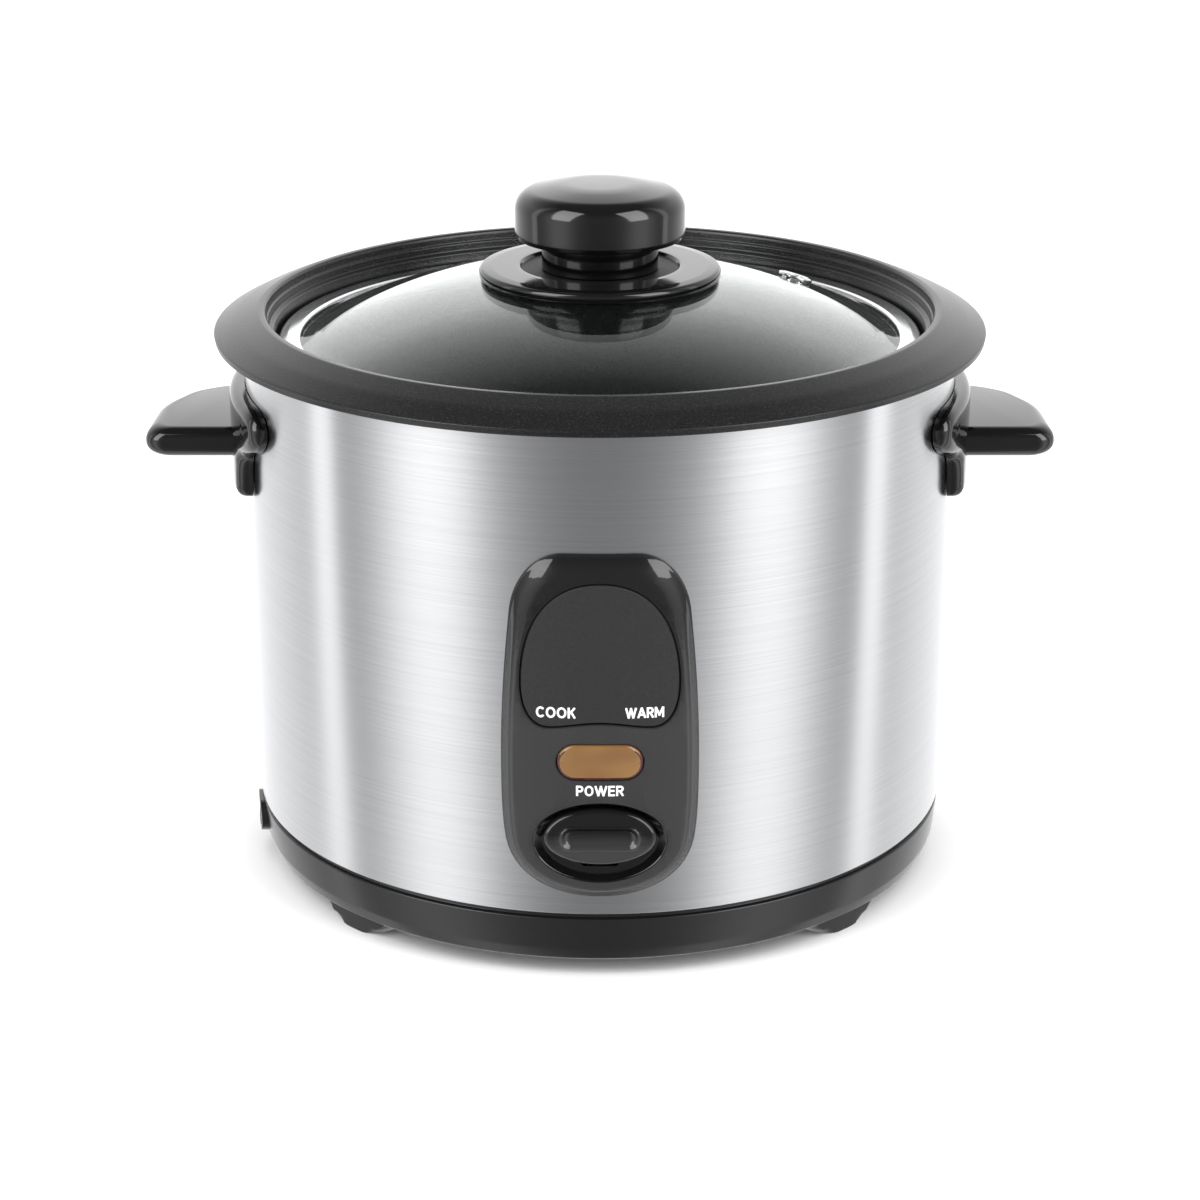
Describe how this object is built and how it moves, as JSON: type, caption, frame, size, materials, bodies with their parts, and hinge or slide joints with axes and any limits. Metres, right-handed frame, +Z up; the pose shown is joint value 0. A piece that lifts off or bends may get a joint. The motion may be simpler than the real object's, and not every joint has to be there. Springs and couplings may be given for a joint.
{
  "type": "rice cooker",
  "caption": "Drum rice cooker with steel body, lift-out flared-rim pot, glass lid with knob and vent, side handles and a press-down cook lever on a front panel.",
  "frame": {"origin": "centre of the bounding box's bottom face: on the drum's axis, at the feet's lowest level", "axes": "+Z up along the drum's axis; +X towards the right handle; -Y towards the front control panel"},
  "size_m": [0.292, 0.2488, 0.2253],
  "materials": {
    "brushed_steel_drum": "horizontally brushed stainless steel",
    "polished_steel": "polished stainless steel",
    "cast_aluminium": "cast or drawn aluminium",
    "black_gloss": "glossy black heat-resistant plastic",
    "black_satin": "satin black moulded plastic",
    "non_stick_coat": "black non-stick coating on aluminium",
    "label_grey": "matte dark grey plate",
    "amber_lens": "smoked amber lens",
    "clear_glass": "tempered clear glass",
    "zinc_plated": "zinc-plated steel",
    "brass": "brass",
    "white_ceramic": "steatite ceramic",
    "lead_sleeve": "woven glass-fibre sleeve",
    "ferrite": "ferrite magnet",
    "silicone": "silicone rubber"
  },
  "bodies": {
    "housing": {"outer_shell": "brushed_steel_drum", "inner_liner": "cast_aluminium", "base_cover": "black_satin", "power_inlet": "black_satin", "inlet_pin_1": "brass", "inlet_pin_2": "brass", "handle_right": "black_gloss", "handle_left": "black_gloss", "control_panel": "black_gloss", "label_plate": "label_grey", "power_lens": "amber_lens", "neon_lamp_left": "amber_lens", "neon_lamp_right": "amber_lens", "lever_pin": "zinc_plated", "lever_bracket": "zinc_plated", "micro_switch": "black_satin", "heating_plate": "cast_aluminium", "sensor_bracket": "zinc_plated", "terminal_block": "white_ceramic", "thermal_fuse": "brass", "foot_1": "black_satin", "handle_screw_1": "zinc_plated", "foot_2": "black_satin", "handle_screw_2": "zinc_plated", "foot_3": "black_satin", "handle_screw_3": "zinc_plated", "foot_4": "black_satin", "handle_screw_4": "zinc_plated", "base_screw_1": "zinc_plated", "body_post_1": "zinc_plated", "plate_standoff_1": "white_ceramic", "base_screw_2": "zinc_plated", "body_post_2": "zinc_plated", "plate_standoff_2": "white_ceramic", "base_screw_3": "zinc_plated", "body_post_3": "zinc_plated", "plate_standoff_3": "white_ceramic", "heater_terminal_left": "brass", "heater_terminal_right": "brass", "lead_live": "lead_sleeve", "lead_heater": "lead_sleeve", "lead_neutral": "lead_sleeve", "lead_switch": "lead_sleeve"},
    "pot": {"inner_pot": "non_stick_coat"},
    "lid": {"lid_glass": "clear_glass", "lid_rim": "polished_steel", "vent_grommet": "polished_steel", "knob_skirt": "black_gloss", "knob_stem": "black_gloss", "knob_cap": "black_gloss", "knob_washer": "silicone", "knob_screw": "zinc_plated"},
    "lever": {"cook_lever": "black_gloss", "lever_arm": "zinc_plated"},
    "magnet": {"magnet_rod": "ferrite"},
    "plunger": {"switch_plunger": "white_ceramic"},
    "sensor": {"sensor_cap": "cast_aluminium", "sensor_core": "ferrite", "sensor_spring": "zinc_plated"}
  },
  "joints": [
    {"name": "pot_lift", "type": "slide", "parent": "housing", "child": "pot", "axis": [0, 0, 1], "range_m": [0, 0.14]},
    {"name": "lid_lift", "type": "slide", "parent": "pot", "child": "lid", "axis": [0, 0, 1], "range_m": [0, 0.08]},
    {"name": "cook_lever_press", "type": "hinge", "parent": "housing", "child": "lever", "pos_m": [0, -0.062, 0.0374], "axis": [1, 0, 0], "range_deg": [0, 5.5], "stiffness_Nm_per_rad": 0.4, "springref_deg": -14.32},
    {"name": "magnet_lift", "type": "slide", "parent": "housing", "child": "magnet", "axis": [0, 0, 1], "range_m": [0, 0.0062]},
    {"name": "switch_press", "type": "slide", "parent": "housing", "child": "plunger", "axis": [0, 0, -1], "range_m": [0, 0.0024]},
    {"name": "sensor_press", "type": "slide", "parent": "housing", "child": "sensor", "axis": [0, 0, -1], "range_m": [0, 0.003], "stiffness_N_per_m": 250, "springref_m": -0.006, "deforming": ["sensor_spring"]}
  ],
  "couplings": [
    {"joint": "magnet_lift", "follows": "cook_lever_press", "m_per_rad": 0.062},
    {"joint": "switch_press", "follows": "cook_lever_press", "m_per_rad": 0.024}
  ]
}
